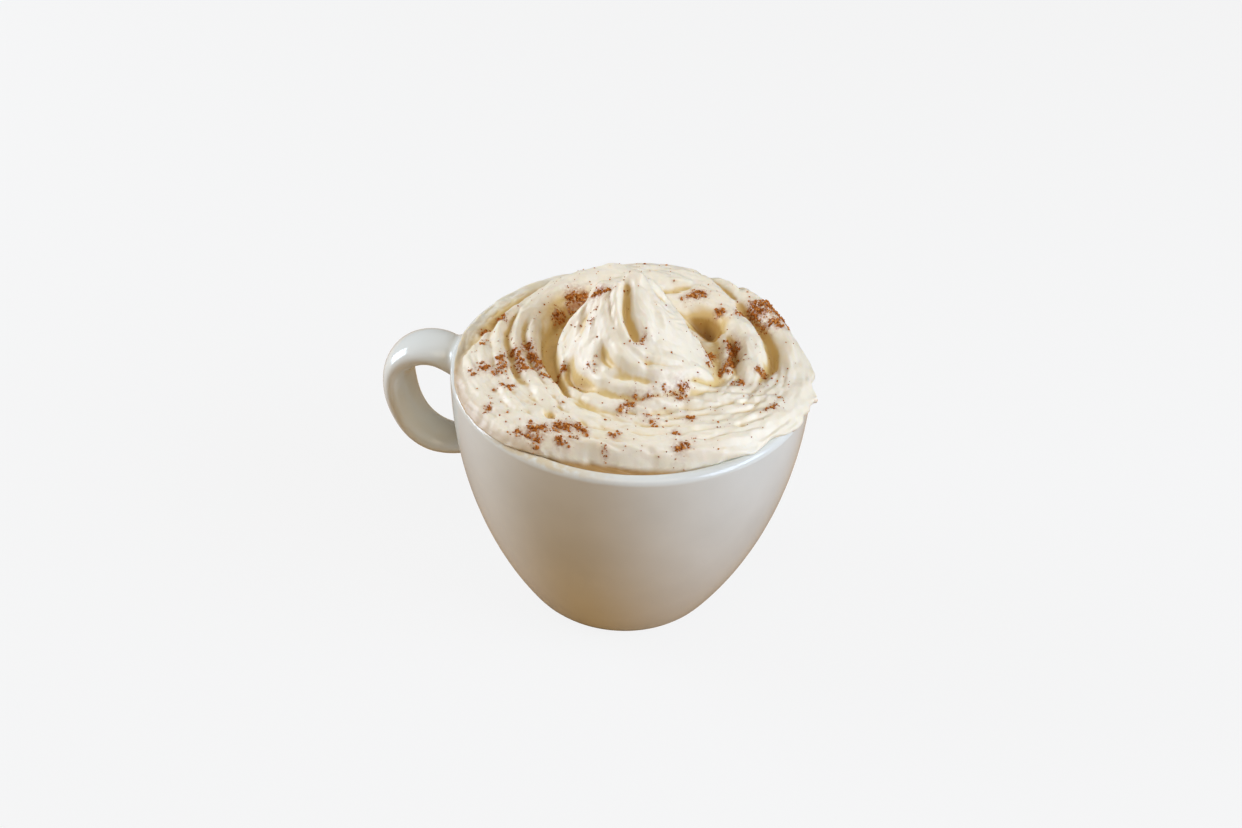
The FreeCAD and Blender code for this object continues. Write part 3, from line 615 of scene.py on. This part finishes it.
def whipped_cream():
    """Whipped cream: soft and matt, ivory on the ridges, with painted golden shade in its hollows.
    """
    material, tree = new_material("whipped_cream")
    place = add_node(tree, "TexCoord").outputs["Object"]
    cloud = add_node(tree, "TexNoise", Vector=place, Scale=1 / (7 * MM), Detail=4.0)
    body = set_ramp(add_node(tree, "ValToRGB", Fac=cloud.outputs["Fac"]),
                    (0.3, linear("#ECE1C8")), (0.7, linear("#F2E9D4")))
    # painted shade: golden where the cream lies deep, a darker brownish gold in the caves
    deep = add_node(tree, "Attribute", {"attribute_name": "painted_shade"})
    golden_shade = add_node(tree, "MapRange", {"interpolation_type": "SMOOTHSTEP"},
                      Value=deep.outputs["Fac"], From_Min=0.06, From_Max=0.54, To_Max=0.9)
    mixed = add_node(tree, "Mix", {"data_type": "RGBA"}, Factor=golden_shade.outputs[0])
    tree.links.new(body.outputs["Color"], mixed.inputs[6])
    mixed.inputs[7].default_value = linear("#DDBF7A")
    # the darkest painted shade, for the caves
    darkest_shade = add_node(tree, "MapRange", {"interpolation_type": "SMOOTHSTEP"},
                       Value=deep.outputs["Fac"], From_Min=0.55, From_Max=1.0, To_Max=0.85)
    cave_shade = add_node(tree, "Mix", {"data_type": "RGBA"}, Factor=darkest_shade.outputs[0])
    tree.links.new(mixed.outputs[2], cave_shade.inputs[6])
    cave_shade.inputs[7].default_value = linear("#B58A3C")
    # the tan of coffee stain and painted shade
    stain_and_shade = add_node(tree, "Attribute", {"attribute_name": "stain_and_shade"})
    tinted = add_node(tree, "Mix", {"data_type": "RGBA"}, Factor=stain_and_shade.outputs["Fac"])
    tree.links.new(cave_shade.outputs[2], tinted.inputs[6])
    tinted.inputs[7].default_value = linear("#A9844F")
    powder = add_node(tree, "Attribute", {"attribute_name": "dusted"})
    speckle = add_node(tree, "TexNoise", Vector=place, Scale=1 / (0.9 * MM), Detail=4.0)
    broken = add_node(tree, "MapRange", Value=speckle.outputs["Fac"], From_Min=0.38,
                      From_Max=0.62, To_Min=0.25)
    covered = add_node(tree, "Math", {"operation": "MULTIPLY", "use_clamp": True},
                       i0=powder.outputs["Fac"], i1=broken.outputs[0])
    dusted = add_node(tree, "Mix", {"data_type": "RGBA"}, Factor=covered.outputs[0])
    tree.links.new(tinted.outputs[2], dusted.inputs[6])
    dusted.inputs[7].default_value = linear("#A8662B")
    grain = add_node(tree, "TexNoise", Vector=place, Scale=1 / (0.6 * MM), Detail=2.0)
    bump = add_node(tree, "Bump", Strength=0.25, Distance=0.14 * MM, Height=grain.outputs["Fac"])
    shade = add_node(tree, "BsdfPrincipled", IOR=1.45, Roughness=0.42,
                     Normal=bump.outputs["Normal"])
    shade.inputs["Subsurface Weight"].default_value = 0.3
    shade.inputs["Subsurface Radius"].default_value = (1.0, 0.75, 0.45)
    shade.inputs["Subsurface Scale"].default_value = 2.0 * MM
    tree.links.new(dusted.outputs[2], shade.inputs["Base Color"])
    out = add_node(tree, "OutputMaterial")
    tree.links.new(shade.outputs[0], out.inputs["Surface"])
    return material


cream_mesh.materials.append(whipped_cream())
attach(cream, "root")
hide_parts("whipped_cream")


# ------------------------------------------------------------------ cinnamon
# Ground cinnamon bark shaken over the cream by hand: crumbs of up to a millimetre that lie
# in patches, mostly on the ridges' upper sides, with single specks in between. They stick
# to the wet cream and tint it round them.
PATCHES = (
    # half width in mm, crumbs, then the stops (angle, radius) of the stroke that laid it
    (0.5, 212, [(138, 32), (134, 31.5), (129, 31)]),
    (0.2, 127, [(178, 12), (186, 10), (195, 7.2)]),
    (0.7, 127, [(138, 30.5), (146, 29.4), (153, 28.2)]),
    (0.7, 68, [(174, 38.5), (170, 40), (167, 42)]),
    (0.7, 51, [(177, 44.5), (174, 43)]),
    (0.6, 17, [(186, 41), (190, 41)]),
    (0.6, 187, [(194, 33), (203, 31.4), (213, 30.6)]),
    (0.7, 280, [(188, 29.6), (195, 27.6), (205, 26.4), (216, 26), (222, 26.7)]),
    (0.7, 28, [(215, 21), (219, 20.5)]),
    (1.3, 127, [(205, 41), (211, 39), (217, 37.5), (222, 37)]),
    (1.0, 59, [(206, 37), (200, 35)]),
    (0.8, 28, [(226, 46), (230, 46.5)]),
    (0.7, 144, [(244, 45.5), (247, 43.8), (250, 41.4)]),
    (0.9, 170, [(253, 38.2), (257, 37), (261, 36.6), (264, 37.4)]),
    (0.5, 28, [(257, 43.2), (260, 43.2)]),
    (1.9, 76, [(248, 46), (253, 43), (259, 41), (266, 39)]),
    (0.9, 25, [(206, 45), (209, 43.5)]),
    (0.5, 22, [(273, 42), (275, 42)]),
    (0.5, 34, [(274, 38), (278, 37)]),
    (0.5, 23, [(277, 28), (280, 28)]),
    (0.4, 18, [(289, 29), (291, 29)]),
    (0.4, 13, [(294, 31), (296, 30)]),
    (0.6, 56, [(279, 26.3), (285, 25), (291, 24)]),
    (0.5, 71, [(296, 24), (304, 24), (313, 24), (319, 24), (327, 24)]),
    (0.4, 37, [(312, 25.6), (317, 25.2)]),
    (0.5, 34, [(311, 32), (314, 33)]),
    (0.6, 68, [(304, 41), (302, 42), (298, 42)]),
    (0.4, 22, [(301, 36), (302, 37)]),
    (0.9, 119, [(352, 21), (6, 21.5), (22, 22.5)]),
    (1.0, 272, [(356, 26), (6, 27), (22, 28), (32, 29.5)]),
    (0.9, 76, [(3, 34), (8, 37)]),
    (0.5, 42, [(354, 32), (350, 31), (349, 29)]),
    (0.9, 144, [(50, 42), (45, 41.5), (36, 41)]),
    (1.5, 391, [(46, 43), (43, 46), (40, 48), (36, 47)]),
    (1.0, 76, [(37, 43), (33, 44)]),
    (1.1, 68, [(72, 33), (67, 35.5)]),
    (1.0, 51, [(58, 35), (52, 33)]),
    (0.9, 34, [(75, 30), (71, 34)]),
    (1.4, 51, [(46, 34), (50, 39)]),
    (0.9, 51, [(351, 43), (346, 43), (339, 43)]),
    (1.1, 20, [(201, 12), (211, 12)]),
    (1.0, 28, [(271, 10.5), (283, 13), (297, 13)]),
    (1.0, 17, [(242, 17), (248, 18)]),
    (0.9, 17, [(245, 46), (242, 46.5)]),
)
SPECKS = 540
shaker = np.random.default_rng(11)
crumbs = []
for half_width, count, stops in PATCHES:
    line = trail(stops)
    # a patch is made of a few closer clusters
    nests = line[shaker.integers(0, len(line), max(4, count // 8))]
    nests = nests + shaker.normal(0, half_width * 0.7, nests.shape)
    for x, y in nests[shaker.integers(0, len(nests), count)]:
        stray = 3 if shaker.uniform() < 0.16 else 1
        dx, dy = shaker.normal(0, stray * (0.22 + 0.2 * half_width), 2)
        crumbs.append((x + dx, y + dy, float(np.clip(shaker.lognormal(-1.5, 0.5), 0.07, 0.58))))
for _ in range(SPECKS):
    a, r = shaker.uniform(0, 2 * math.pi), 46.0 * math.sqrt(shaker.uniform(0.0, 1.0))
    crumbs.append((r * math.cos(a), r * math.sin(a),
                   float(np.clip(shaker.lognormal(-1.6, 0.4), 0.09, 0.42))))

top_of_cream = BVHTree.FromPolygons(points.tolist(), faces)
# a crumb starts as a ball of twenty faces, whose corners are then moved at random
ICO = []
golden_ratio = (1 + math.sqrt(5)) / 2
for p in (-1, 1):
    for q in (-golden_ratio, golden_ratio):
        ICO += [(0, p, q), (p, q, 0), (q, 0, p)]
ICO = np.array(ICO) / math.sqrt(1 + golden_ratio ** 2)
ICO_FACES = [(a, b, c) for a in range(12) for b in range(a + 1, 12) for c in range(b + 1, 12)
             if max(np.linalg.norm(ICO[a] - ICO[b]), np.linalg.norm(ICO[b] - ICO[c]),
                    np.linalg.norm(ICO[a] - ICO[c])) < 1.1]
ICO_FACES = [(a, b, c) if np.dot(np.cross(ICO[b] - ICO[a], ICO[c] - ICO[a]), ICO[a]) > 0
             else (a, c, b) for a, b, c in ICO_FACES]
crumb_points, crumb_faces = [], []
dust = np.zeros_like(relief)
for x, y, size in crumbs:
    found, normal, _, _ = top_of_cream.ray_cast(Vector((x, y, lip / MM + 60)),
                                                Vector((0, 0, -1)))
    if found is None:
        continue
    shape = ICO * size * shaker.uniform(0.6, 1.3, (12, 1)) * shaker.uniform(0.5, 1.15, 3)
    spin = np.array(Matrix.Rotation(shaker.uniform(0, 6.28), 3, Vector(shaker.normal(0, 1, 3))))
    seat = np.array(found + normal * size * 0.25)
    crumb_faces += [(a + len(crumb_points), b + len(crumb_points), c + len(crumb_points))
                    for a, b, c in ICO_FACES]
    crumb_points += (shape @ spin.T + seat).tolist()
    i, j = int(round((x + MAP_HALF) / MAP_STEP)), int(round((y + MAP_HALF) / MAP_STEP))
    dust[i, j] += size * size
paint("dusted", sample(20 * blur(dust, 0.5) + 16 * blur(dust, 1.6), points[:, 0], points[:, 1])
      * (np.arange(len(points)) < TOP_ROWS * COLUMNS))
crumb_mesh = bpy.data.meshes.new("ground_cinnamon")
crumb_mesh.from_pydata((np.array(crumb_points) * MM).tolist(), [], crumb_faces)
cinnamon = bpy.data.objects.new("ground_cinnamon", crumb_mesh)
bpy.context.collection.objects.link(cinnamon)


def ground_cinnamon():
    """Ground bark: dry and dull, each crumb anything from dark brown to tan."""
    material, tree = new_material("ground_cinnamon")
    place = add_node(tree, "TexCoord").outputs["Object"]
    bark = add_node(tree, "TexNoise", Vector=place, Scale=1 / (0.8 * MM), Detail=3.0)
    colour = set_ramp(add_node(tree, "ValToRGB", Fac=bark.outputs["Fac"]),
                      (0.32, linear("#84450F")), (0.5, linear("#B46A26")),
                      (0.68, linear("#D29750")))
    shade = add_node(tree, "BsdfPrincipled", IOR=1.45, Roughness=0.8, Specular_IOR_Level=0.2,
                     Base_Color=colour.outputs["Color"])
    out = add_node(tree, "OutputMaterial")
    tree.links.new(shade.outputs[0], out.inputs["Surface"])
    return material


crumb_mesh.materials.append(ground_cinnamon())
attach(cinnamon, "root")


# ------------------------------------------------------------------ table and light
# A plain table top of matt board. Two large soft lamps light the cup from its sides, a
# weaker and warmer one from above the viewer, and a faint one from behind.
def grey(value):
    return (value, value, value, 1)


def pale_table():
    """Matt board: almost evenly white to the viewer, and a warm wood tone to the glaze."""
    material, tree = new_material("pale_table")
    rays = add_node(tree, "LightPath")
    matt = add_node(tree, "BsdfDiffuse", Color=linear("#B8925F"))
    paper = add_node(tree, "BsdfDiffuse", Color=grey(0.80))
    glow = add_node(tree, "Emission", Color=linear("#F5F5F5"), Strength=1.01)
    plain = add_node(tree, "MixShader", i0=0.94, i1=paper.outputs[0], i2=glow.outputs[0])
    both = add_node(tree, "MixShader", i0=rays.outputs["Is Camera Ray"], i1=matt.outputs[0],
                    i2=plain.outputs[0])
    out = add_node(tree, "OutputMaterial")
    tree.links.new(both.outputs[0], out.inputs["Surface"])
    return material


floor_mesh = bpy.data.meshes.new("table_top")
reach = 3.0
floor_mesh.from_pydata([(-reach, -reach, 0), (reach, -reach, 0), (reach, reach, 0),
                        (-reach, reach, 0)], [], [(0, 1, 2, 3)])
floor = bpy.data.objects.new("table_top", floor_mesh)
floor_mesh.materials.append(pale_table())
bpy.context.collection.objects.link(floor)

world = bpy.data.worlds.new("room")
bpy.context.scene.world = world
world.use_nodes = True
tree = world.node_tree
tree.nodes.clear()
rays = add_node(tree, "LightPath")
seen = add_node(tree, "Math", {"operation": "MAXIMUM"}, i0=rays.outputs["Is Camera Ray"],
                i1=rays.outputs["Is Transmission Ray"])
dim = add_node(tree, "Background", Color=linear("#FFE4C8"), Strength=0.14)
bright = add_node(tree, "Background", Color=linear("#F4F4F4"), Strength=1.0)
both = add_node(tree, "MixShader", i0=seen.outputs[0], i1=dim.outputs[0], i2=bright.outputs[0])
out = add_node(tree, "OutputWorld")
tree.links.new(both.outputs[0], out.inputs["Surface"])


def soft_lamp(name, azimuth, elevation, distance, width, watts, colour):
    """A square lamp that faces the cup. Azimuth 0 is over the viewer's shoulder."""
    lamp_data = bpy.data.lights.new(name, "AREA")
    lamp_data.size = width
    lamp_data.energy = watts
    lamp_data.color = linear(colour)[:3]
    lamp = bpy.data.objects.new(name, lamp_data)
    a, e = math.radians(azimuth) + camera_azimuth, math.radians(elevation)
    away = Vector((math.sin(a) * math.cos(e), -math.cos(a) * math.cos(e), math.sin(e)))
    lamp.location = Vector((0, 0, lip)) + away * distance
    lamp.rotation_mode = "QUATERNION"
    lamp.rotation_quaternion = away.to_track_quat("Z", "Y")
    bpy.context.collection.objects.link(lamp)


soft_lamp("lamp_left", -104, 15, 0.9, 0.5, 9.3, "#DDEBFF")
soft_lamp("lamp_right", 69, 29, 0.9, 0.6, 9.2, "#D0E3FF")
soft_lamp("lamp_top", 10, 67, 0.9, 0.6, 2.5, "#FFEFD8")
soft_lamp("lamp_back", 175, 55, 1.0, 0.7, 0.6, "#FFFDF8")
